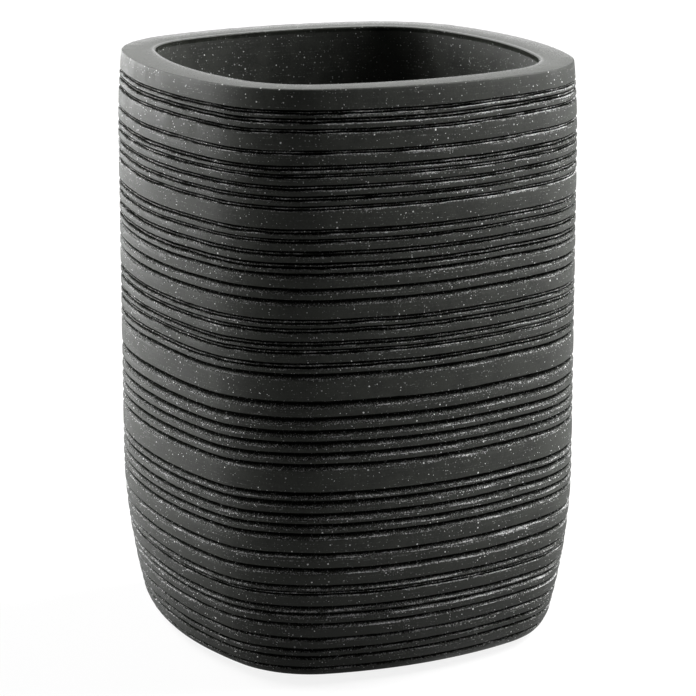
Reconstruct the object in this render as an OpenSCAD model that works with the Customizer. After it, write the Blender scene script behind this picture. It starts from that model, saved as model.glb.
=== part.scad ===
// Bathroom tumbler: a cast stone-resin cup, a rounded square with bowed sides in plan,
// combed all round with level grooves, standing on a soft pad glued into its underside.
// Millimetres. The origin is the middle of the pad's underside, +Z is up, and the four
// sides face -X, +X, -Y and +Y.

/* [Plan outline] */
// Width of the rim across two opposite sides
rim_width = 75; // [65:0.5:90]
// Radius on which each side bows outwards
side_radius = 71.5; // [65:0.5:120]
// Radius of the four corners
corner_radius = 21.5; // [20:0.5:26]

/* [Wall] */
// Height of the cast body, from its underside to the rim
body_height = 105; // [85:1:130]
// Thickness of the wall at the rim
wall_thickness = 6.3; // [4:0.1:8]
// How far the wall leans inwards, inside, between rim and floor
inner_draft = 0.8; // [0.2:0.1:1.5]
// Thickness of the floor above the pad's pocket
floor_thickness = 7; // [4:0.5:12]
// Radius between the inner wall and the floor
inner_floor_radius = 9; // [3:0.5:10]
// Round on the inner edge of the rim
inner_edge_radius = 0.8; // [0.3:0.1:2]
// Bevel on the outer edge of the rim
outer_edge_bevel = 0.25; // [0.1:0.05:0.5]

/* [Side profile] */
// How far the belly stands out beyond the rim
belly_swell = 0.75; // [0.2:0.05:2]
// How far below the rim the belly has its full width
belly_drop = 16.6; // [8:0.2:30]
// Height above the underside where the wall starts to curve in
taper_start = 31.5; // [20:0.5:45]
// Radius on which the wall curves in towards the foot
taper_radius = 112; // [80:1:200]
// Radius of the foot, where the wall turns under
foot_radius = 5.2; // [3:0.1:8]

/* [Combed grooves] */
// Height of a full-size groove
groove_height = 1; // [0.6:0.05:1.4]
// Depth of a groove
groove_depth = 0.55; // [0.2:0.05:0.8]

/* [Anti-slip pad] */
// Thickness of the foam-rubber pad
pad_thickness = 1.5; // [1:0.1:3]
// How far the pad stands out of its pocket
pad_stand = 0.5; // [0.3:0.05:0.8]
// Thickness of the adhesive film that holds the pad
adhesive_thickness = 0.2; // [0.1:0.05:0.4]
// Width of the flat ring that is left round the pocket
pocket_margin = 2.5; // [1:0.1:5]
// Gap between the pad's edge and the pocket's wall
pad_gap = 0.3; // [0.1:0.05:0.8]

/* [Hidden] */
$fn = 120;

// Each groove: the height of its sharp upper lip as a share of body_height, and its own
// height as a share of groove_height. The combing is irregular: single lines, close pairs
// and a few broad plain bands, with deeper-set, coarser lines towards the middle.
groove_shares = [
    [0.026, 0.6], [0.047, 0.7], [0.060, 0.7], [0.083, 0.7], [0.109, 0.9],
    [0.127, 0.8], [0.140, 0.9], [0.166, 0.8], [0.179, 0.9], [0.211, 1.2],
    [0.237, 1.0], [0.270, 1.2], [0.287, 1.1], [0.305, 1.0], [0.325, 1.1],
    [0.341, 1.2], [0.389, 1.3], [0.408, 1.3], [0.427, 1.3], [0.446, 1.3],
    [0.466, 1.2], [0.494, 1.4], [0.539, 1.2], [0.555, 1.0], [0.578, 0.8],
    [0.591, 0.9], [0.614, 1.0], [0.628, 0.9], [0.660, 1.0], [0.680, 0.9],
    [0.707, 1.1], [0.723, 1.0], [0.742, 1.0], [0.763, 0.8], [0.778, 1.0],
    [0.817, 1.0], [0.833, 1.0], [0.850, 0.9], [0.868, 0.8], [0.882, 0.9],
    [0.906, 0.9], [0.940, 0.9], [0.956, 0.9], [0.970, 0.9],
];
// A groove's section, from its lower edge to its upper lip: how far up it lies and how
// deep it is, as shares of that groove's height and of groove_depth. The comb has dragged
// out a slope below, a bed and a steep wall under the lip.
groove_section_shares = [[0, 0], [0.45, 0.8], [0.85, 1], [1, 0]];
// Segments in the arcs of the wall's section
arc_steps = 8;
// Radius that the sweep leaves open round a corner's own axis, and how far the floor's
// middle reaches into the swept ring round it
sweep_bore = 2;
core_lap = 1;
// Angle that a sweep is given before it is cut off, more than any arc takes
sweep_angle = 90;
// How far a cutting shape reaches past what it cuts
overrun = 1;

rim_half = rim_width / 2;
base_z = pad_stand;
rim_z = base_z + body_height;
pocket_z = pad_thickness + adhesive_thickness;
floor_z = pocket_z + floor_thickness;

// The plan outline is four bowed sides and four corners, arcs that meet on one tangent.
// A side's arc has its centre on the axis beyond the middle, a corner's on the diagonal.
side_centre = rim_half - side_radius;
centre_distance = side_radius - corner_radius;
corner_centre = (side_centre + sqrt(2 * pow(centre_distance, 2) - pow(side_centre, 2))) / 2;
side_half_angle = atan2(corner_centre, corner_centre - side_centre);
core_radius = sqrt(2) * corner_centre + sweep_bore + core_lap;

// The side profile, as distances outwards from the rim's outline. From the rim it swells to
// the belly, runs straight, follows the taper's arc and ends in the foot's arc.
belly_z = rim_z - belly_drop;
taper_z = base_z + taper_start;
taper_centre_x = belly_swell - taper_radius;
foot_centre_z = base_z + foot_radius;
foot_angle = asin((taper_z - foot_centre_z) / (taper_radius - foot_radius));
foot_centre_x = taper_centre_x + (taper_radius - foot_radius) * cos(foot_angle);
foot_top_z = foot_centre_z - foot_radius * sin(foot_angle);
pocket_x = foot_centre_x - pocket_margin;
pad_x = pocket_x - pad_gap;
sweep_x = sweep_bore - corner_radius;

function swell_at(z) = belly_swell * (1 - pow((z - belly_z) / belly_drop, 2));
function taper_at(z) = taper_centre_x + sqrt(pow(taper_radius, 2) - pow(taper_z - z, 2));
function foot_at(z) = foot_centre_x + sqrt(pow(foot_radius, 2) - pow(foot_centre_z - z, 2));
function wall_at(z) =
    z > belly_z ? swell_at(z) :
    z > taper_z ? belly_swell :
    z > foot_top_z ? taper_at(z) : foot_at(z);

function arc_points(centre, radius, from, to) = [
    for (i = [0:arc_steps])
        let (a = from + (to - from) * i / arc_steps)
        centre + radius * [cos(a), sin(a)]
];

// One groove's points, from its lower edge to its upper lip
function groove_points(groove) = [
    for (corner = groove_section_shares)
        let (z = base_z + groove[0] * body_height
                 - (1 - corner[0]) * groove[1] * groove_height)
        [wall_at(z) - corner[1] * groove_depth, z]
];
lowest_groove_z = groove_points(groove_shares[0])[0][1];

// The foot's arc, as far up as the lowest groove
foot_points = [
    for (p = arc_points([foot_centre_x, foot_centre_z], foot_radius, -90, -foot_angle))
        if (p[1] < lowest_groove_z) p
];
comb_points = [for (groove = groove_shares) each groove_points(groove)];
rim_points = concat(
    [[0, rim_z - outer_edge_bevel], [-outer_edge_bevel, rim_z]],
    arc_points([inner_edge_radius - wall_thickness, rim_z - inner_edge_radius],
               inner_edge_radius, 90, 180));
inside_points = arc_points(
    [-wall_thickness - inner_draft - inner_floor_radius, floor_z + inner_floor_radius],
    inner_floor_radius, 0, -90);

// Half an arc of the plan outline: a section swept round the arc's centre, on from the turn
// where the arc starts, and cut off at a plane of symmetry. The cut keeps what stands over
// the points in plan. In the section, x is the distance outwards from the rim's outline, and
// it reaches inwards to sweep_x.
module half_arc(centre, radius, turn, kept) {
    intersection() {
        translate(centre)
            rotate(turn)
                rotate_extrude(angle = sweep_angle)
                    translate([radius, 0])
                        children();
        translate([0, 0, -overrun])
            linear_extrude(rim_z + 2 * overrun)
                polygon(kept);
    }
}

// Sweeps a section round the plan outline. Half a side and half a corner make one eighth of
// it, and the rest are its mirror images and turns, so all seams meet exactly.
module around_outline() {
    for (side = [0:3], flip = [0:1])
        rotate(90 * side)
            mirror([0, flip, 0]) {
                half_arc([side_centre, 0], side_radius, -side_half_angle,
                         [[0, 0], [0, -rim_width], [rim_width, -rim_width], [rim_width, 0]])
                    children();
                half_arc([corner_centre, corner_centre], corner_radius, side_half_angle,
                         [[0, 0], [rim_width, 0], [rim_width, rim_width]])
                    children();
            }
}

// The middle that the swept section leaves open, from one height to another
module core(from_z, to_z) {
    translate([0, 0, from_z])
        cylinder(h = to_z - from_z, r = core_radius);
}

// A flat sheet with the plan outline drawn in to edge_x
module sheet(edge_x, from_z, to_z) {
    around_outline()
        translate([sweep_x, from_z])
            square([edge_x - sweep_x, to_z - from_z]);
    core(from_z, to_z);
}

// The cast cup: foot, combed wall, rim, smooth inside and floor
module tumbler_body() {
    color("#2e2f2e") {
        around_outline()
            polygon(concat(
                [[sweep_x, pocket_z], [pocket_x, pocket_z], [pocket_x, base_z]],
                foot_points,
                comb_points,
                rim_points,
                inside_points,
                [[sweep_x, floor_z]]));
        core(pocket_z, floor_z);
    }
}

// The film that holds the pad in its pocket
module pad_adhesive() {
    color("#cfc9b4")
        sheet(pad_x, pad_thickness, pocket_z);
}

// The die-cut foam-rubber pad that the tumbler stands on
module base_pad() {
    color("#1f1f20")
        sheet(pad_x, 0, pad_thickness);
}

tumbler_body();
pad_adhesive();
base_pad();
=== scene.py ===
# %% [markdown]
# # A combed tumbler of cast resin
#
# The tumbler is poured in one piece from resin filled with stone powder, demoulded, combed all
# round with a toothed steel and ground flat on its rim. A foam pad is glued under it.
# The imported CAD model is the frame. What is drawn here goes over it, in metres, in its own
# place. Sizes are written in millimetres and multiplied by MM where they are used.

# %% Load the frame
import math

import bpy
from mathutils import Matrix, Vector


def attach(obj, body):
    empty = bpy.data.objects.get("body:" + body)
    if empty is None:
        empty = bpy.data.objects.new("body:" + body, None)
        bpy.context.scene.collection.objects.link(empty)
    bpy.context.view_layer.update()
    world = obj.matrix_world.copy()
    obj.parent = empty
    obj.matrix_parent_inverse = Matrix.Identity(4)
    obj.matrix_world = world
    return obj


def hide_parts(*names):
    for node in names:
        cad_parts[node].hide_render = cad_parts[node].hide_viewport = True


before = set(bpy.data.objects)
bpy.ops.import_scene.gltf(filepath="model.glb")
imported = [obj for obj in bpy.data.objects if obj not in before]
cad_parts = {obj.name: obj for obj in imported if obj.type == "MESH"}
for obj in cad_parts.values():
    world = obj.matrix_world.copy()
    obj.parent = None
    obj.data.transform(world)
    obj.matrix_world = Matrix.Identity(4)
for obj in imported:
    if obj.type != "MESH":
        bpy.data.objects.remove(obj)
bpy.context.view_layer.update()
MM = 0.001

# %% [markdown]
# ## The camera
#
# The photograph was taken from a step away with a long lens, looking down a little, with one
# corner of the tumbler towards the lens. Azimuth, elevation and distance were worked out from
# the rim's two outlines and the whole silhouette, and the lens from the width of the picture.
# An azimuth is counted from the side that faces -Y, and turns towards +X.


# %% Camera
def direction(azimuth, elevation):
    """The way out from the tumbler, at an azimuth and an elevation in degrees."""
    a, e = math.radians(azimuth), math.radians(elevation)
    return Vector((math.sin(a) * math.cos(e), -math.cos(a) * math.cos(e), math.sin(e)))


AZIMUTH = -26.83
ELEVATION = 14.05
DISTANCE = 567.4
AIM_HEIGHT = 51.3
AIM_SIDE = 0.5
aim = Vector((0, 0, AIM_HEIGHT * MM))

back = direction(AZIMUTH, ELEVATION)
right = Vector((math.cos(math.radians(AZIMUTH)), math.sin(math.radians(AZIMUTH)), 0))
camera_data = bpy.data.cameras.new("camera")
camera_data.lens = 161.0
camera_data.sensor_width = 36.0
camera_data.clip_start = 0.01
camera_data.clip_end = 20
camera = bpy.data.objects.new("camera", camera_data)
camera.location = aim + AIM_SIDE * MM * right + DISTANCE * MM * back
camera.rotation_mode = "QUATERNION"
camera.rotation_quaternion = (-back).to_track_quat("-Z", "Y")
bpy.context.scene.collection.objects.link(camera)
bpy.context.scene.camera = camera
bpy.context.scene.view_settings.view_transform = "Standard"
print("camera at", [round(c, 3) for c in camera.location])

# %% [markdown]
# ## Node helpers
#
# Every finish below is a small tree of nodes. One helper adds a node, sets its plain values
# and joins its inputs, and a few short ones add the kinds that are used most, so that each
# finish reads as a list of what it is made of.


# %% Node helpers
def set_input(tree, socket, value):
    """Joins an input to another node's output, or gives it a plain value."""
    if isinstance(value, bpy.types.NodeSocket):
        tree.links.new(value, socket)
    else:
        socket.default_value = value


def add_node(tree, kind, settings=None, **inputs):
    """Adds a node. An input goes by its name, with underscores for spaces, or by i and a number."""
    node = tree.nodes.new(kind)
    for name, value in (settings or {}).items():
        setattr(node, name, value)
    for name, value in inputs.items():
        numbered = name[0] == "i" and name[1:].isdigit()
        key = int(name[1:]) if numbered else name.replace("_", " ")
        set_input(tree, node.inputs[key], value)
    return node


def maths(tree, operation, *values):
    """The result of a Math node, for one operation on plain values or other nodes' outputs."""
    node = tree.nodes.new("ShaderNodeMath")
    node.operation = operation
    for socket, value in zip(node.inputs, values):
        set_input(tree, socket, value)
    return node.outputs[0]


def fade(tree, value, low, high, to_low=0.0, to_high=1.0):
    """A smooth step: to_low below low and to_high above high."""
    node = add_node(tree, "ShaderNodeMapRange", {"interpolation_type": "SMOOTHSTEP"}, Value=value,
                    From_Min=low, From_Max=high, To_Min=to_low, To_Max=to_high)
    return node.outputs["Result"]


def blend(tree, share, first, second):
    """Mixes two colours by a share."""
    node = add_node(tree, "ShaderNodeMix", {"data_type": "RGBA"}, i0=share, i6=first, i7=second)
    return node.outputs[2]


def grey(value):
    """A neutral grey as a colour."""
    return (value, value, value, 1)


def new_material(name):
    """An empty finish, its node tree and its output node."""
    material = bpy.data.materials.new(name)
    material.use_nodes = True
    material.node_tree.nodes.clear()
    output = material.node_tree.nodes.new("ShaderNodeOutputMaterial")
    return material, material.node_tree, output


# %% [markdown]
# ## Floor, background and light
#
# The product stands in a white studio. A pale floor that the camera, mirrors and glass see
# almost as pure white keeps the soft shadow under the foot, and adds little light to the
# object. The side of the room that the front corner faces is dim in reflections, as a studio
# is behind its camera, so that corner is the darkest and the satin walls gleam more and more
# towards both outlines. The dim side fades in as a place's level direction nears DIM_SIDE.

# %% What is seen directly
DIM_SIDE = -55
DIM_FROM = 0.25
DIM_FULL = 0.85
DIM_SHARE = 0.2


def seen_directly(tree, place):
    """1 for rays from the camera or glass, and for glossy ones except towards the dim side."""
    path = tree.nodes.new("ShaderNodeLightPath")
    level = add_node(tree, "ShaderNodeVectorMath", {"operation": "MULTIPLY"}, i0=place,
                     i1=(1, 1, 0)).outputs[0]
    level = add_node(tree, "ShaderNodeVectorMath", {"operation": "NORMALIZE"}, i0=level).outputs[0]
    facing = add_node(tree, "ShaderNodeVectorMath", {"operation": "DOT_PRODUCT"}, i0=level,
                      i1=direction(DIM_SIDE, 0)).outputs["Value"]
    mirrored = maths(tree, "MULTIPLY", path.outputs["Is Glossy Ray"],
                     fade(tree, facing, DIM_FROM, DIM_FULL, 1, DIM_SHARE))
    return maths(tree, "MAXIMUM", path.outputs["Is Camera Ray"],
                 maths(tree, "MAXIMUM", mirrored, path.outputs["Is Transmission Ray"]))


# %% World
ROOM_LIGHT = 0.02

world = bpy.data.worlds.new("studio")
world.use_nodes = True
tree = world.node_tree
tree.nodes.clear()
place = add_node(tree, "ShaderNodeTexCoord").outputs["Generated"]
room = add_node(tree, "ShaderNodeBackground", Color=(1, 1, 1, 1), Strength=ROOM_LIGHT)
backdrop = add_node(tree, "ShaderNodeBackground", Color=(1, 1, 1, 1), Strength=1.0)
seen = add_node(tree, "ShaderNodeMixShader", i0=seen_directly(tree, place), i1=room.outputs[0],
                i2=backdrop.outputs[0])
add_node(tree, "ShaderNodeOutputWorld", Surface=seen.outputs[0])
bpy.context.scene.world = world
print("world of", len(tree.nodes), "nodes")

# %% Floor
FLOOR_SIZE = 8.0
FLOOR_OWN_WHITE = 0.85

bpy.ops.object.select_all(action="DESELECT")
bpy.ops.mesh.primitive_plane_add(size=FLOOR_SIZE, location=(0, 0, 0))
floor = bpy.context.object
floor.name = "floor"
material, tree, output = new_material("white_floor")
seen = seen_directly(tree, add_node(tree, "ShaderNodeTexCoord").outputs["Object"])
paint = add_node(tree, "ShaderNodeBsdfDiffuse", Color=blend(tree, seen, grey(0.2), grey(0.9)))
white = add_node(tree, "ShaderNodeEmission", Color=(1, 1, 1, 1), Strength=1.0)
share = maths(tree, "MULTIPLY", seen, FLOOR_OWN_WHITE)
mixed = add_node(tree, "ShaderNodeMixShader", i0=share, i1=paint.outputs[0], i2=white.outputs[0])
tree.links.new(mixed.outputs[0], output.inputs["Surface"])
floor.data.materials.append(material)
print("floor", FLOOR_SIZE, "m across")

# %% [markdown]
# ## Lamps
#
# Soft boxes stand at both sides and a little behind. The low ones light the bands. The high
# ones graze the walls from above and draw the thin bright lines along the bands' upper
# shoulders. Their distance and their size are in metres.

# %% Soft boxes
LAMP_DISTANCE = 1.2
LAMP_HEIGHT = 0.5


def soft_box(name, azimuth, elevation, width, power):
    """A lamp that faces the tumbler's middle."""
    data = bpy.data.lights.new(name, "AREA")
    data.shape = "RECTANGLE"
    data.size = width
    data.size_y = LAMP_HEIGHT
    data.energy = power
    lamp = bpy.data.objects.new(name, data)
    towards = direction(azimuth, elevation)
    lamp.location = aim + LAMP_DISTANCE * towards
    lamp.rotation_mode = "QUATERNION"
    lamp.rotation_quaternion = towards.to_track_quat("Z", "Y")
    bpy.context.scene.collection.objects.link(lamp)
    print(name, "at azimuth", azimuth, "with", power, "W")


soft_box("soft_box_back_left", azimuth=-168, elevation=6, width=0.6, power=14)
soft_box("soft_box_left", azimuth=-132, elevation=6, width=0.7, power=15)
soft_box("soft_box_left_high", azimuth=-140, elevation=42, width=0.6, power=15)
soft_box("soft_box_right", azimuth=74, elevation=8, width=0.8, power=12)
soft_box("soft_box_right_high", azimuth=80, elevation=42, width=0.6, power=30)

# %% [markdown]
# ## The cup's section
#
# The cup is the same all round, so its wall, floor and foot are one section. Its sizes repeat
# those of the CAD model, except at the rim's two edges, which are drawn more finely. From the
# rim the wall swells to a belly, runs straight, follows a long arc inwards and ends in the
# foot's small arc. The sweep later leaves SWEEP_BORE open round each corner's own centre.

# %% Sizes of the cup
RIM_HALF = 37.5
SIDE_RADIUS = 71.5
CORNER_RADIUS = 21.5
BASE_Z = 0.5
RIM_Z = 105.5
WALL = 6.3
INNER_DRAFT = 0.8
FLOOR_Z = 8.7
INNER_FLOOR_RADIUS = 9.0
BELLY_SWELL = 0.75
BELLY_DROP = 16.6
TAPER_Z = 32.0
TAPER_RADIUS = 112.0
FOOT_RADIUS = 5.2
POCKET_MARGIN = 2.5
POCKET_Z = 1.7
SWEEP_BORE = 2.0

belly_z = RIM_Z - BELLY_DROP
taper_centre_x = BELLY_SWELL - TAPER_RADIUS
foot_centre_z = BASE_Z + FOOT_RADIUS
foot_angle = math.asin((TAPER_Z - foot_centre_z) / (TAPER_RADIUS - FOOT_RADIUS))
foot_centre_x = taper_centre_x + (TAPER_RADIUS - FOOT_RADIUS) * math.cos(foot_angle)
foot_top_z = foot_centre_z - FOOT_RADIUS * math.sin(foot_angle)
pocket_x = foot_centre_x - POCKET_MARGIN
sweep_x = SWEEP_BORE - CORNER_RADIUS


def wall_at(z):
    """How far the plain wall stands out beyond the rim's outline, at a height."""
    if z > belly_z:
        return BELLY_SWELL * (1 - ((z - belly_z) / BELLY_DROP) ** 2)
    if z > TAPER_Z:
        return BELLY_SWELL
    if z > foot_top_z:
        return taper_centre_x + math.sqrt(TAPER_RADIUS**2 - (TAPER_Z - z) ** 2)
    return foot_centre_x + math.sqrt(FOOT_RADIUS**2 - (foot_centre_z - z) ** 2)


print("foot turns under at", round(foot_top_z, 2), "mm, pocket edge", round(pocket_x, 2), "mm in")

# %% [markdown]
# ## The combed grooves
#
# Each groove starts at a sharp lip, drops into a narrow bed, often with a thin ridge in it
# where a second tooth ran, and climbs out over a torn slope to the next band's broken edge.
# The teeth left a double bed in the close, fine lines and a single one with a long torn slope
# in the coarse lines of the lower half. A shape's points are pairs: how far below the lip, as a
# share of the groove's height, and how deep, as a share of GROOVE_DEPTH. In the table each
# groove has its lip's height, its own height, its shape and how bright the painted highlight on
# its shoulder is. They were read from the photograph, from the rim down.

# %% Groove table
DOUBLE = [(0, 0), (0.04, 0.9), (0.25, 0.95), (0.34, 0.2), (0.5, 0.2), (0.58, 0.9), (0.76, 0.85),
          (0.9, 0.12), (1, 0)]
SINGLE = [(0, 0), (0.04, 0.95), (0.32, 1), (0.42, 0.65), (0.62, 0.45), (0.9, 0.12), (1, 0)]
SMALL = [(0, 0), (0.08, 0.8), (0.5, 0.8), (0.9, 0.12), (1, 0)]
GROOVE_DEPTH = 0.8
# The last number of each groove is the strength of the painted highlight on its shoulder.
GROOVES = [
    (102.0, 1.0, DOUBLE, 0.9), (100.6, 1.1, DOUBLE, 1.0), (98.8, 0.9, DOUBLE, 1.0),
    (95.2, 0.9, DOUBLE, 0.9), (92.7, 1.1, DOUBLE, 0.8), (91.3, 0.9, DOUBLE, 0.9),
    (89.4, 1.0, DOUBLE, 0.9), (87.6, 1.0, DOUBLE, 0.7), (85.9, 0.95, DOUBLE, 1.0),
    (81.9, 1.1, DOUBLE, 0.55), (80.2, 0.9, DOUBLE, 0.5), (78.1, 1.1, DOUBLE, 0.5),
    (76.1, 1.3, DOUBLE, 0.5), (74.3, 1.0, SINGLE, 0.4), (71.7, 1.1, SINGLE, 0.35),
    (69.7, 1.15, SINGLE, 0.4), (66.3, 1.1, DOUBLE, 0.6), (64.8, 1.1, DOUBLE, 0.55),
    (62.5, 1.1, DOUBLE, 0.55), (61.1, 1.0, DOUBLE, 0.65), (58.8, 1.15, DOUBLE, 0.45),
    (57.0, 1.2, SINGLE, 0.4), (52.2, 1.5, SINGLE, 0.4), (49.4, 1.5, SINGLE, 0.35),
    (47.1, 1.4, SINGLE, 0.45), (45.1, 1.3, SINGLE, 0.4), (43.1, 1.4, SINGLE, 0.45),
    (41.1, 1.3, SINGLE, 0.5), (36.1, 1.3, SINGLE, 0.5), (34.6, 1.35, SINGLE, 0.5),
    (32.4, 1.3, SINGLE, 0.5), (30.5, 1.2, SINGLE, 0.5), (28.8, 1.3, SINGLE, 0.5),
    (25.2, 1.1, SINGLE, 0.85), (22.4, 1.3, SINGLE, 0.7), (19.2, 1.0, SINGLE, 0.7),
    (18.0, 1.0, DOUBLE, 0.8), (15.2, 1.1, SINGLE, 0.75), (13.9, 1.05, SINGLE, 0.9),
    (11.9, 1.0, SINGLE, 0.8), (9.1, 0.8, SMALL, 0.7), (6.9, 0.8, SMALL, 0.5),
    (5.4, 0.8, SMALL, 0.4), (3.2, 0.7, SMALL, 0.4),
]
print(len(GROOVES), "grooves")

# %% [markdown]
# ## The section as a line of points
#
# The section is written from the pocket in the underside, round the foot, up the wall, over
# the rim and down inside to the floor. Each point has its distance outwards from the rim's
# outline, its height, and three shares: how torn it is, from 0 on the smooth bands to 1 on a
# groove's slope, how deep it is sunk, from 0 on the wall to 1 in a groove's bed, which also
# sets how much painted shade darkens it, and how much painted highlight it gets, which is most
# on the bands' upper shoulders. A band is cut off sharply at its foot, by the lip, and its upper
# shoulder is dragged round.

# %% Section helpers
section = []


def mark(x, z, torn=0.0, sunk=0.0, painted_highlight=0.0, part="plain"):
    """Adds a point to the section, with its three shares and the part that it belongs to."""
    section.append((x, z, torn, sunk, painted_highlight, part))


def arc(centre_x, centre_z, radius, start, end, steps, sunk=0.0, part="plain"):
    """Points on an arc of the section, between two angles in degrees."""
    for i in range(steps + 1):
        a = math.radians(start + (end - start) * i / steps)
        mark(centre_x + radius * math.cos(a), centre_z + radius * math.sin(a), sunk=sunk,
             part=part)


# %% Pocket and foot
FOOT_STEPS = 5
FOOT_GAP_ANGLE = 6

mark(sweep_x, POCKET_Z)
mark(pocket_x, POCKET_Z)
mark(pocket_x, BASE_Z)
lowest = GROOVES[-1][0] - GROOVES[-1][1]
foot_end = -math.degrees(math.asin((foot_centre_z - lowest) / FOOT_RADIUS))
arc(foot_centre_x, foot_centre_z, FOOT_RADIUS, -90, foot_end - FOOT_GAP_ANGLE, FOOT_STEPS,
    part="band")
print("the lowest groove starts at", round(lowest, 2), "mm")

# %% [markdown]
# A broad band has points near both its edges and one in the middle, all pressed out a little,
# and a narrow band has the middle one alone or none. In a groove, a point's part, how torn it
# is and how much painted highlight it gets follow from where it lies below the lip. The
# painted-highlight shares are multiplied by the groove's own strength of painted highlight.

# %% Bands and grooves
PILLOW = 0.02
BROAD_BAND = 1.8
NARROW_BAND = 0.6
PART_AT = {0: "lip", 0.34: "ridge", 0.5: "ridge", 1: "shoulder"}
# Painted highlight by place below the lip, most on the shoulder.
HIGHLIGHT_AT = {0.34: 0.5, 0.5: 0.6, 0.62: 0.35, 0.9: 1.0, 1: 0.5}
TORN_AT = {0: 0.1, 1: 0.25}
TORN_BED = 0.4
TORN_SLOPE = 1.0
BED_DEPTH_SHARE = 0.7


def band(low, high):
    """A smooth band's points, between two heights."""
    height = high - low
    shares = (0.15, 0.5, 0.85) if height > BROAD_BAND else (0.5,) if height > NARROW_BAND else ()
    for share in shares:
        z = low + share * height
        mark(wall_at(z) + PILLOW * (1 if share == 0.5 else 0.5), z, part="band")


top = None
for lip, height, shape, shoulder_highlight in reversed(GROOVES):
    if top is not None:
        band(top, lip - height)
    for share, depth in reversed(shape):
        z = lip - share * height
        torn = TORN_AT.get(share, TORN_BED if depth > BED_DEPTH_SHARE else TORN_SLOPE)
        painted_highlight = HIGHLIGHT_AT.get(share, 0.0) * shoulder_highlight
        mark(wall_at(z) - depth * GROOVE_DEPTH, z, torn, depth, painted_highlight, PART_AT.get(share, "bed"))
    top = lip
print(len(section), "points up to the highest lip")

# %% [markdown]
# The rim is flat, falls away on a gentle bow towards the inside and ends in a small round. The
# bow's share of painted highlight grows towards the inside, where the rim is painted paler as a
# thin bright line. The small round is half sunk, so where it has the resin's finish the beds'
# painted shade darkens it. The inside counts as partly sunk, because it keeps the mould's
# smooth skin with fewer grains showing.

# %% Rim and inside
RIM_EDGE = 0.35
BOW_RADIUS = 9.0
BOW_WIDTH = 1.5
INNER_EDGE_RADIUS = 0.5
EDGE_START = 110
EDGE_STEPS = 3
EDGE_SUNK = 0.5
INNER_DROPS = (0.4, 2.6)
INNER_SKIN = 0.3
INNER_FLOOR_STEPS = 7

band(top, RIM_Z - RIM_EDGE)
arc(-RIM_EDGE, RIM_Z - RIM_EDGE, RIM_EDGE, 0, 90, EDGE_STEPS, part="rim")
bow_start = INNER_EDGE_RADIUS + BOW_WIDTH - WALL
# The bow's share of painted highlight grows towards the inside, step by step.
for i in range(EDGE_STEPS + 1):
    along = BOW_WIDTH * i / EDGE_STEPS
    fall = BOW_RADIUS - math.sqrt(BOW_RADIUS**2 - along**2)
    mark(bow_start - along, RIM_Z - fall, painted_highlight=i / EDGE_STEPS)
inner_top = RIM_Z - fall - INNER_EDGE_RADIUS
# The small round is half sunk, so the resin's finish darkens it with the beds' painted shade.
arc(INNER_EDGE_RADIUS - WALL, inner_top, INNER_EDGE_RADIUS, EDGE_START, 180, EDGE_STEPS,
    sunk=EDGE_SUNK)
for drop in INNER_DROPS:
    mark(-WALL, inner_top - drop, sunk=INNER_SKIN)
arc(-WALL - INNER_DRAFT - INNER_FLOOR_RADIUS, FLOOR_Z + INNER_FLOOR_RADIUS, INNER_FLOOR_RADIUS,
    0, -90, INNER_FLOOR_STEPS, sunk=INNER_SKIN)
mark(sweep_x, FLOOR_Z, sunk=INNER_SKIN)
print(len(section), "points in the section")

# %% [markdown]
# ## Drawing the section
#
# A small plane is merged to one point, and the section is drawn from it by extruding the
# point again and again, as with a pen. It stands on the middle of the side that faces +Y. Its
# points go into named groups, and their three shares into attributes that the finish reads
# later. Both are copied along when the section is swept.


# %% Draw the section
def start_point(name, x, z):
    """A new mesh of one point on the +Y side, in edit mode with the point selected."""
    bpy.ops.object.select_all(action="DESELECT")
    bpy.ops.mesh.primitive_plane_add(size=MM, location=(0, (RIM_HALF + x) * MM, z * MM))
    piece = bpy.context.object
    piece.name = name
    piece.data.name = name
    bpy.ops.object.transform_apply(location=True)
    bpy.ops.object.mode_set(mode="EDIT")
    bpy.ops.mesh.select_all(action="SELECT")
    bpy.ops.mesh.merge(type="CENTER")
    return piece


def draw_on(points):
    """Extrudes the selected point along a line of (x, z) points."""
    for (x0, z0), (x1, z1) in zip(points, points[1:]):
        bpy.ops.mesh.extrude_vertices_move(
            TRANSFORM_OT_translate={"value": (0, (x1 - x0) * MM, (z1 - z0) * MM)})


cup = start_point("cast_cup", section[0][0], section[0][1])
draw_on([point[:2] for point in section])
bpy.ops.object.mode_set(mode="OBJECT")
print("section drawn with", len(cup.data.vertices), "points")

# %% Shares and groups
GROUPS = {"outside": ("band", "lip", "shoulder", "ridge", "bed"), "lip": ("lip",),
          "shoulder": ("shoulder",), "rim": ("rim",), "groove": ("ridge", "bed"),
          "ridge": ("ridge",)}

for name, place in (("torn", 2), ("sunk", 3), ("painted_highlight", 4)):
    share = cup.data.attributes.new(name, "FLOAT", "POINT")
    for i, point in enumerate(section):
        share.data[i].value = point[place]
for name, parts in GROUPS.items():
    group = cup.vertex_groups.new(name=name)
    group.add([i for i, point in enumerate(section) if point[-1] in parts], 1.0, "REPLACE")
print(len(cup.vertex_groups), "groups of points")

# %% [markdown]
# ## Sweeping it round
#
# Seen from above, the tumbler is four bowed sides and four round corners, arcs that meet on
# one tangent. The section is spun round the centre of each arc in turn, half a side first, and
# each spin goes on from where the last one ended. The first and last sections are then merged,
# and the two openings left in the middle are closed with a flat face each.

# %% Plan of arcs
side_centre = RIM_HALF - SIDE_RADIUS
centre_distance = SIDE_RADIUS - CORNER_RADIUS
corner_centre = (side_centre + math.sqrt(2 * centre_distance**2 - side_centre**2)) / 2
side_half_angle = math.atan2(corner_centre, corner_centre - side_centre)
corner_angle = math.pi / 2 - 2 * side_half_angle
MERGE_DISTANCE = 0.01


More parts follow.
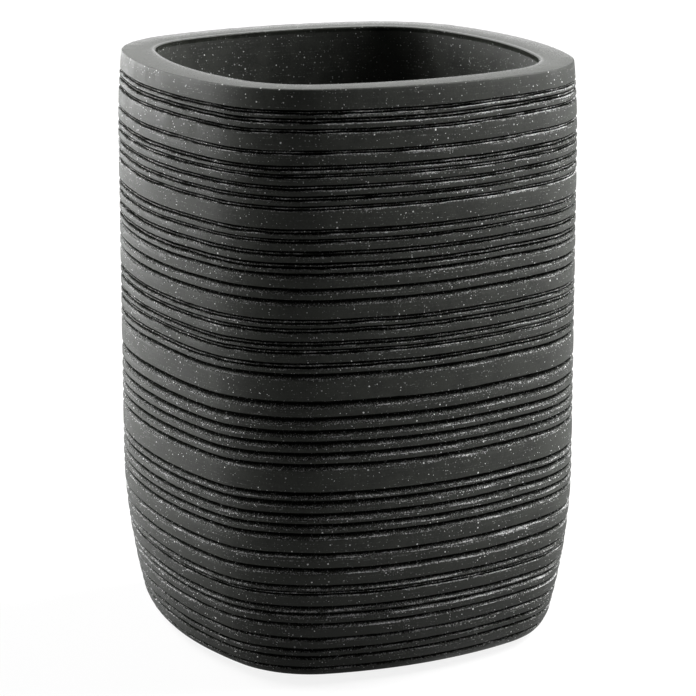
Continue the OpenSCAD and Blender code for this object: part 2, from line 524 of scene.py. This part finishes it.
def spin(x, y, angle, steps):
    """Spins what is selected clockwise round a point, given in millimetres."""
    bpy.ops.mesh.spin(steps=steps, angle=angle, center=(x * MM, y * MM, 0), axis=(0, 0, 1))


def sweep_round(side_steps, corner_steps):
    """Sweeps the selected section or point once round the plan, from the middle of +Y."""
    bpy.ops.mesh.select_all(action="SELECT")
    c, s = corner_centre, side_centre
    spin(0, s, side_half_angle, side_steps // 2)
    for corner, side in (((c, c), (s, 0)), ((c, -c), (0, -s)), ((-c, -c), (-s, 0))):
        spin(*corner, corner_angle, corner_steps)
        spin(*side, 2 * side_half_angle, side_steps)
    spin(-c, c, corner_angle, corner_steps)
    spin(0, s, side_half_angle, side_steps // 2)
    bpy.ops.mesh.select_all(action="SELECT")
    bpy.ops.mesh.remove_doubles(threshold=MERGE_DISTANCE * MM)


print("a side turns by", round(2 * math.degrees(side_half_angle), 2), "degrees")

# %% Sweep
SIDE_STEPS = 32
CORNER_STEPS = 24


def close_openings():
    """Gives each open rim a flat face, and turns all faces outwards."""
    bpy.ops.mesh.select_all(action="DESELECT")
    bpy.ops.mesh.select_mode(type="EDGE")
    bpy.ops.mesh.select_non_manifold(extend=False, use_wire=False, use_boundary=True,
                                     use_multi_face=False, use_non_contiguous=False,
                                     use_verts=False)
    bpy.ops.mesh.edge_face_add()
    bpy.ops.mesh.select_mode(type="VERT")
    bpy.ops.mesh.select_all(action="SELECT")
    bpy.ops.mesh.normals_make_consistent(inside=False)


bpy.ops.object.mode_set(mode="EDIT")
sweep_round(SIDE_STEPS, CORNER_STEPS)
close_openings()
bpy.ops.object.mode_set(mode="OBJECT")
print("cup:", len(cup.data.vertices), "points,", len(cup.data.polygons), "faces")

# %% [markdown]
# ## The hand's unsteadiness
#
# The comb was guided by hand while the cup turned, so the grooves aren't level. They sag
# towards the corner that faces the camera and rise along both sides. Clockwise of it, as seen
# from above, they rise less, and least at LEVEL_Z. The rim and the foot stay flat. A Displace
# modifier without a texture will move points straight up by their group's weight, so how far
# a point rises and how freely it moves are written into two more groups.

# %% Sag
CORNER_TURN = math.radians(-135)
SAG_TURN = math.radians(17)
LESS_RISE = 0.85
LEVEL_LOSS = 0.7
LEVEL_Z = 42
LEVEL_SPAN = 20
HELD_TOP = 103.6
HELD_FOOT = 1.6
RELEASE = 3


def rise_share(x, y, z):
    """How far the grooves rise there, from 0 to about 1, by the turn round the cup."""
    turn = math.remainder(math.atan2(y, x) - CORNER_TURN - SAG_TURN, 2 * math.pi)
    share = 0.5 - 0.5 * math.cos(2 * turn)
    if turn < 0:
        share *= LESS_RISE - LEVEL_LOSS * math.exp(-(((z - LEVEL_Z) / LEVEL_SPAN) ** 4))
    return share


def free_share(z):
    """How freely the comb moved, from 0 at the rim and the foot to 1 on the wall."""
    return max(0.0, min(1.0, (HELD_TOP - z) / RELEASE, (z - HELD_FOOT) / RELEASE))


def members(piece, group_name):
    """The points of a piece that are in a group."""
    index = piece.vertex_groups[group_name].index
    return [v for v in piece.data.vertices if any(g.group == index for g in v.groups)]


rises = cup.vertex_groups.new(name="rises")
free = cup.vertex_groups.new(name="free")
outside = members(cup, "outside")
for v in outside:
    x, y, z = (c / MM for c in v.co)
    rises.add([v.index], rise_share(x, y, z) * free_share(z), "REPLACE")
    free.add([v.index], free_share(z), "REPLACE")
print(len(outside), "points can move")

# %% [markdown]
# On the two sides that face ±Y the grooves' shoulders get more painted highlight, and on the two
# that face ±X the grooves get more painted shade. So the painted-highlight and the sunk shares
# swing about their means with the turn round the cup.

# %% Painted light by side
HIGHLIGHT_MEAN = 0.51
HIGHLIGHT_SWING = 0.21
SUNK_MEAN = 1.15
SUNK_SWING = 0.15

torn, sunk, painted_highlight = [cup.data.attributes[name].data for name in ("torn", "sunk", "painted_highlight")]
changed = 0
# Painted highlight is strongest on the ±Y sides; the larger sunk share on the ±X sides darkens
# their grooves with painted shade.
for v in cup.data.vertices:
    if torn[v.index].value > 0:
        turn = math.cos(2 * math.atan2(v.co.y, v.co.x))
        painted_highlight[v.index].value *= HIGHLIGHT_MEAN - HIGHLIGHT_SWING * turn
        sunk[v.index].value *= SUNK_MEAN + SUNK_SWING * turn
        changed += 1
print("painted_light_by_side set on", changed, "points")

# %% [markdown]
# The sag comes first. Then Displace modifiers with a cloud texture let the lines wander, blur
# the ridges and chip the edges. A strength is how far the clouds' full range moves a point, a
# grain is the clouds' size, and where the clouds have the value of middle, a point stays.


# %% Wander and chips
def displace(piece, name, group_name, strength, direction="NORMAL", grain=0.0, depth=2, middle=0.5):
    """Moves a group's points by a Displace modifier, with a cloud texture if it has a grain."""
    modifier = piece.modifiers.new(name, "DISPLACE")
    modifier.vertex_group = group_name
    modifier.direction = direction
    modifier.strength = strength * MM
    modifier.mid_level = 0.0
    if grain:
        texture = bpy.data.textures.new(name, "CLOUDS")
        texture.noise_scale = grain * MM
        texture.noise_depth = depth
        modifier.texture = texture
        modifier.texture_coords = "LOCAL"
        modifier.mid_level = middle
    bpy.context.view_layer.objects.active = piece
    bpy.ops.object.modifier_apply(modifier=name)


displace(cup, "sag", "rises", 0.75, "Z")
displace(cup, "slow_wander", "free", 0.5, "Z", grain=22, depth=1)
displace(cup, "quick_wander", "groove", 0.22, "Z", grain=5, depth=1)
displace(cup, "ridge_blur", "ridge", -0.3, grain=4, middle=0.4)
displace(cup, "bed_depth", "groove", 0.2, grain=2.5)
displace(cup, "chipped_shoulders", "shoulder", -0.25, grain=1.3, middle=0.42)
displace(cup, "chipped_lips", "lip", -0.14, grain=1.3, middle=0.42)
displace(cup, "nicked_rim", "rim", -0.12, grain=1.2, middle=0.45)
print("cup box in mm:", [round(c / MM, 2) for c in cup.dimensions])

# %% [markdown]
# ## Crisp edges, soft bands
#
# The bands and the inside are shaded smooth, and every edge that turns by more than about
# thirty degrees, such as a groove's lip, stays sharp.

# %% Shading
CUP_SHARP_ANGLE = math.radians(32)

bpy.ops.object.select_all(action="DESELECT")
cup.select_set(True)
bpy.context.view_layer.objects.active = cup
bpy.ops.object.shade_smooth_by_angle(angle=CUP_SHARP_ANGLE)
print("sharp from", round(math.degrees(CUP_SHARP_ANGLE)), "degrees")

# %% [markdown]
# ## Cast stone resin
#
# The resin is charcoal right through, with fine pale stone grit in it. Smooth bands show the
# grit as small, sparse specks under a satin skin. The comb tore the slopes, so there the
# surface is rough, dragged into streaks along the groove, and more grit lies open. The beds
# are darkened as painted shade, and the shoulders are painted pale as a highlight. Noise at
# several sizes and a few sets of small round cells make this, and the section's three shares
# say where each of them shows.


# %% Grit, grain and stone
def specks(tree, where, cells_per_mm, radius, kept):
    """Round specks: a cell texture in which only a share of the cells holds one."""
    cells = add_node(tree, "ShaderNodeTexVoronoi", {"feature": "F1"}, Vector=where,
                     Scale=cells_per_mm / MM, Randomness=1.0)
    pick = add_node(tree, "ShaderNodeSeparateColor", Color=cells.outputs["Color"])
    size = fade(tree, pick.outputs[1], 0, 1, radius * 0.5, radius)
    inside = maths(tree, "LESS_THAN", cells.outputs["Distance"], size)
    chosen = maths(tree, "LESS_THAN", pick.outputs[0], kept)
    bright = fade(tree, pick.outputs[2], 0.3, 1.1, 0.2, 1.0)
    return maths(tree, "MULTIPLY", maths(tree, "MULTIPLY", inside, chosen), bright)


def grain(tree, where, size_mm, detail=3.0, roughness=0.55):
    """Noise whose coarsest patches are about size_mm across."""
    node = add_node(tree, "ShaderNodeTexNoise", Vector=where, Scale=1 / (size_mm * MM),
                    Detail=detail, Roughness=roughness)
    return node.outputs["Fac"]


def stone(value):
    """The resin's charcoal at a brightness: a grey with a hint of green."""
    return (0.93 * value, value, 0.85 * value, 1)


def share_of(tree, name):
    """One of the section's shares, as a finish reads it."""
    return add_node(tree, "ShaderNodeAttribute", {"attribute_name": name}).outputs["Fac"]


def surface(tree, output, colour, roughness, relief, relief_mm, strength, **gloss):
    """Joins a colour, a roughness and a fine relief to a finish's output, as one surface."""
    bump = add_node(tree, "ShaderNodeBump", Strength=strength, Distance=relief_mm * MM,
                    Height=relief)
    shader = add_node(tree, "ShaderNodeBsdfPrincipled", Base_Color=colour, Roughness=roughness,
                      Normal=bump.outputs[0], **gloss)
    tree.links.new(shader.outputs[0], output.inputs["Surface"])


# %% [markdown]
# The finish is built in layers. The skin is the smooth resin: mottled, faintly streaked by the
# comb, dusty, and darker towards the foot as painted shade. The slope is the torn resin, and shows
# where the torn share, frayed with noise, is high. The shoulders get a pale painted highlight. Last
# come the beds' painted shade, the grit, which is fewer where the resin is sunk, and a few dark
# dots.
# Beds and the inner edge's round are sheltered from handling and have no gloss, so the finish is
# made twice.


# %% Layers of the resin
def skin_layer(tree, mottle, drag, dust, height):
    """The smooth bands' colour, with painted shade towards the foot."""
    skin = blend(tree, fade(tree, mottle, 0.38, 0.62), stone(0.015), stone(0.028))
    skin = blend(tree, fade(tree, drag, 0.45, 0.7, 0, 0.4), skin, stone(0.033))
    skin = blend(tree, fade(tree, dust, 0.4, 0.75, 0, 0.35), skin, stone(0.042))
    # Painted shade: the skin is darkened towards the foot.
    return blend(tree, fade(tree, height, 8 * MM, 34 * MM, 0.5, 0), skin, stone(0.008))


def slope_layer(tree, tearing, crumbs):
    """The torn slopes' colour."""
    slope = blend(tree, fade(tree, tearing, 0.35, 0.65), stone(0.014), stone(0.04))
    return blend(tree, fade(tree, crumbs, 0.54, 0.66), slope, grey(0.22))


def paint_highlight_on(tree, body, painted_highlight, drag, loose, crumbs):
    """Paints a pale highlight onto a colour where the highlight share is high, in streaks along the
    comb's way.
    """
    streaks = fade(tree, drag, 0.3, 0.7, -0.3, 0.3)
    highlight_mask = maths(tree, "ADD", maths(tree, "ADD", painted_highlight, streaks), loose)
    # Painted highlight: this pale colour stands in for the light that the shoulders catch.
    shoulder_highlight = blend(tree, fade(tree, crumbs, 0.38, 0.6), grey(0.13), grey(0.65))
    return blend(tree, fade(tree, highlight_mask, 0.28, 0.78), body, shoulder_highlight)


def grit_on(tree, body, place, sunk, broken):
    """Adds pale grit to a colour, more of it where the resin is broken, and dark dots."""
    coarse = specks(tree, place, cells_per_mm=0.9, radius=0.14, kept=0.5)
    fine = specks(tree, place, cells_per_mm=2.1, radius=0.21, kept=0.4)
    opened = specks(tree, place, cells_per_mm=2.4, radius=0.28, kept=0.85)
    grit = maths(tree, "ADD", maths(tree, "ADD", coarse, fine),
                 maths(tree, "MULTIPLY", opened, broken))
    grit = maths(tree, "MULTIPLY", maths(tree, "MINIMUM", grit, 1.0),
                 fade(tree, sunk, 0.25, 0.5, 1, 0.35))
    dots = specks(tree, place, cells_per_mm=0.55, radius=0.12, kept=0.3)
    return blend(tree, dots, blend(tree, grit, body, grey(0.9)), stone(0.004))


# %% Cast resin
OPEN_GLOSS = 0.21
TEAR_STRETCH = (0.45, 0.45, 4.5)
DRAG_STRETCH = (0.15, 0.15, 5)


def resin_finish(name, gloss):
    """The resin's finish, with a gloss of its own for faces in the open and in shelter."""
    material, tree, output = new_material(name)
    place = add_node(tree, "ShaderNodeTexCoord").outputs["Object"]
    torn, sunk, painted_highlight = [share_of(tree, share) for share in ("torn", "sunk", "painted_highlight")]
    dragged = add_node(tree, "ShaderNodeMapping", Vector=place, Scale=TEAR_STRETCH).outputs[0]
    drawn = add_node(tree, "ShaderNodeMapping", Vector=place, Scale=DRAG_STRETCH).outputs[0]
    height = add_node(tree, "ShaderNodeSeparateXYZ", Vector=place).outputs["Z"]

    mottle = grain(tree, place, size_mm=4.0, detail=4.0, roughness=0.65)
    dust = grain(tree, place, size_mm=0.35, detail=2.0)
    loose = maths(tree, "SUBTRACT", dust, 0.5)
    tearing = grain(tree, dragged, size_mm=1.0, detail=3.0, roughness=0.6)
    crumbs = grain(tree, place, size_mm=0.22, detail=1.0)
    drag = grain(tree, drawn, size_mm=1.0, detail=2.0)
    broken = fade(tree, maths(tree, "ADD", torn, maths(tree, "MULTIPLY", loose, 1.6)), 0.3, 0.75)

    body = blend(tree, broken, skin_layer(tree, mottle, drag, dust, height),
                 slope_layer(tree, tearing, crumbs))
    body = paint_highlight_on(tree, body, painted_highlight, drag, loose, crumbs)
    # Painted shade: sunk places, the grooves' beds most, are darkened towards near black.
    body = blend(tree, fade(tree, sunk, 0.3, 0.7, 0, 0.9), body, stone(0.006))
    colour = grit_on(tree, body, place, sunk, broken)

    shine = fade(tree, mottle, 0.25, 0.75, 0.52, 0.68)
    roughness = maths(tree, "ADD", shine, maths(tree, "MULTIPLY", broken, 0.25))
    relief = maths(tree, "ADD", maths(tree, "MULTIPLY", dust, 0.15),
                   maths(tree, "MULTIPLY", maths(tree, "ADD", tearing, crumbs), broken))
    surface(tree, output, colour, roughness, relief, relief_mm=0.22, strength=0.8,
            Specular_IOR_Level=gloss)
    print(material.name, "has", len(tree.nodes), "nodes")
    return material


resin = resin_finish("cast_resin", OPEN_GLOSS)
sheltered = resin_finish("sheltered_resin", 0.0)

# %% [markdown]
# ## The ground rim
#
# The rim is ground flat after casting and rubbed with fine paper, which leaves it paler, with
# a faint sheen at a low angle, a fine grain and a few pits. Towards the inside it falls away on
# a gentle bow that gleams at a low angle, as a thin bright line, which is partly a painted
# highlight: the bow is painted paler there. It is the same resin, so it is another finish on the
# same piece, given to the faces up there that look upwards.

# %% Ground rim
ground, tree, output = new_material("ground_resin")
place = add_node(tree, "ShaderNodeTexCoord").outputs["Object"]
rubbed = grain(tree, place, size_mm=0.3)
clouds = grain(tree, place, size_mm=4.0)
tone = blend(tree, fade(tree, rubbed, 0.38, 0.62), stone(0.003), stone(0.06))
tone = blend(tree, fade(tree, clouds, 0.35, 0.7, 0, 0.4), tone, stone(0.05))
# Painted highlight: the bow's inner end is painted paler, as a thin bright line.
tone = blend(tree, fade(tree, share_of(tree, "painted_highlight"), 0.6, 1.0, 0, 0.3), tone, grey(0.45))
coarse = specks(tree, place, cells_per_mm=0.9, radius=0.13, kept=0.6)
fine = specks(tree, place, cells_per_mm=1.9, radius=0.15, kept=0.5)
grit = maths(tree, "MINIMUM", maths(tree, "ADD", coarse, fine), 1.0)
tone = blend(tree, grit, tone, stone(0.5))
pits = specks(tree, place, cells_per_mm=1.3, radius=0.16, kept=0.5)
tone = blend(tree, pits, tone, stone(0.004))
matt = fade(tree, rubbed, 0.3, 0.7, 0.27, 0.41)
grazing = add_node(tree, "ShaderNodeLayerWeight", Blend=0.5).outputs["Facing"]
polish = fade(tree, grazing, 0.84, 0.92, 0, 0.25)
shine = maths(tree, "MAXIMUM", maths(tree, "SUBTRACT", matt, polish), pits)
surface(tree, output, tone, shine, rubbed, relief_mm=0.13, strength=0.5, Specular_IOR_Level=0.5)
print(ground.name, "has", len(tree.nodes), "nodes")

# %% [markdown]
# ## Giving the finishes to faces
#
# The cup has three finishes, in this order: resin in the open, ground rim and resin in
# shelter. A face is ground if it looks up within GROUND_REACH of the rim, and sheltered if its
# points are sunk by more than SHELTER_FROM on average.

# %% Finishes on the cup
OPEN, GROUND, SHELTER = range(3)
GROUND_REACH = 1
LOOKS_UP = 0.85
SHELTER_FROM = 0.38

cup.data.materials.clear()
for finish in (resin, ground, sheltered):
    cup.data.materials.append(finish)
sunk = cup.data.attributes["sunk"].data
counts = [0, 0, 0]
for face in cup.data.polygons:
    kind = OPEN
    if face.normal.z > LOOKS_UP and face.center.z > (RIM_Z - GROUND_REACH) * MM:
        kind = GROUND
    elif sum(sunk[i].value for i in face.vertices) > SHELTER_FROM * len(face.vertices):
        kind = SHELTER
    face.material_index = kind
    counts[kind] += 1
print(counts, "faces in the open, ground and in shelter")
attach(cup, "root")
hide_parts("tumbler_body")

# %% [markdown]
# ## The foam pad
#
# The pad is die-cut from foam rubber: a flat sheet with the cup's outline drawn in, its cut
# edges slightly rounded by the weight on them. A point is spun round for its outline, which
# is filled, raised to the pad's thickness and bevelled.

# %% Foam pad
PAD_GAP = 0.3
PAD_THICKNESS = 1.5
PAD_EDGE = 0.25
PAD_STEPS = 24
LEVEL_EDGE = 0.1 * PAD_THICKNESS
PAD_SHARP_ANGLE = math.radians(35)

pad = start_point("foam_pad", pocket_x - PAD_GAP, 0)
sweep_round(PAD_STEPS, PAD_STEPS)
bpy.ops.mesh.edge_face_add()
bpy.ops.mesh.extrude_region_move(TRANSFORM_OT_translate={"value": (0, 0, PAD_THICKNESS * MM)})
bpy.ops.mesh.select_all(action="SELECT")
bpy.ops.mesh.normals_make_consistent(inside=False)
bpy.ops.object.mode_set(mode="OBJECT")
for edge in pad.data.edges:
    low, high = sorted(pad.data.vertices[i].co.z for i in edge.vertices)
    edge.select = high - low < LEVEL_EDGE * MM
bpy.ops.object.mode_set(mode="EDIT")
bpy.ops.mesh.select_mode(type="EDGE")
bpy.ops.mesh.bevel(offset=PAD_EDGE * MM, segments=3, affect="EDGES")
bpy.ops.mesh.select_mode(type="VERT")
bpy.ops.object.mode_set(mode="OBJECT")
bpy.ops.object.shade_smooth_by_angle(angle=PAD_SHARP_ANGLE)
print("pad in mm:", [round(c / MM, 2) for c in pad.dimensions], len(pad.data.polygons), "faces")

# %% [markdown]
# Foam rubber is cut cells: small round hollows, matt black, with a few paler clouds where it
# has picked up dust. A soft cell texture gives both the colour and the relief.

# %% Foam rubber
CELLS_PER_MM = 2.2

foam, tree, output = new_material("foam_rubber")
place = add_node(tree, "ShaderNodeTexCoord").outputs["Object"]
cells = add_node(tree, "ShaderNodeTexVoronoi", {"feature": "SMOOTH_F1"}, Vector=place,
                 Scale=CELLS_PER_MM / MM, Smoothness=0.4).outputs["Distance"]
tone = blend(tree, fade(tree, cells, 0.1, 0.7), grey(0.007), grey(0.019))
tone = blend(tree, fade(tree, grain(tree, place, 6.0), 0.45, 0.75, 0, 0.5), tone, grey(0.03))
surface(tree, output, tone, 0.88, cells, relief_mm=0.15, strength=0.7, Specular_IOR_Level=0.3)
print(foam.name, "has", len(tree.nodes), "nodes")
pad.data.materials.clear()
pad.data.materials.append(foam)
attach(pad, "root")
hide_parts("base_pad")

# %% [markdown]
# ## The adhesive film
#
# A thin film holds the pad in its pocket. Its CAD solid has the right shape and is hidden
# between the pad and the cup, so it keeps its mesh and gets a finish: cream, slightly glossy,
# with faint clouds where the film wetted the resin unevenly.

# %% Adhesive film
CREAM = (0.62, 0.57, 0.45, 1)
WETTED_CREAM = (0.5, 0.45, 0.34, 1)

film, tree, output = new_material("adhesive_film")
wetted = grain(tree, add_node(tree, "ShaderNodeTexCoord").outputs["Object"], 7.0)
tone = blend(tree, fade(tree, wetted, 0.35, 0.65), CREAM, WETTED_CREAM)
surface(tree, output, tone, 0.35, wetted, relief_mm=0.05, strength=0.3)
print(film.name, "has", len(tree.nodes), "nodes")
film_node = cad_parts["pad_adhesive"]
for slot in film_node.material_slots:
    slot.material = film
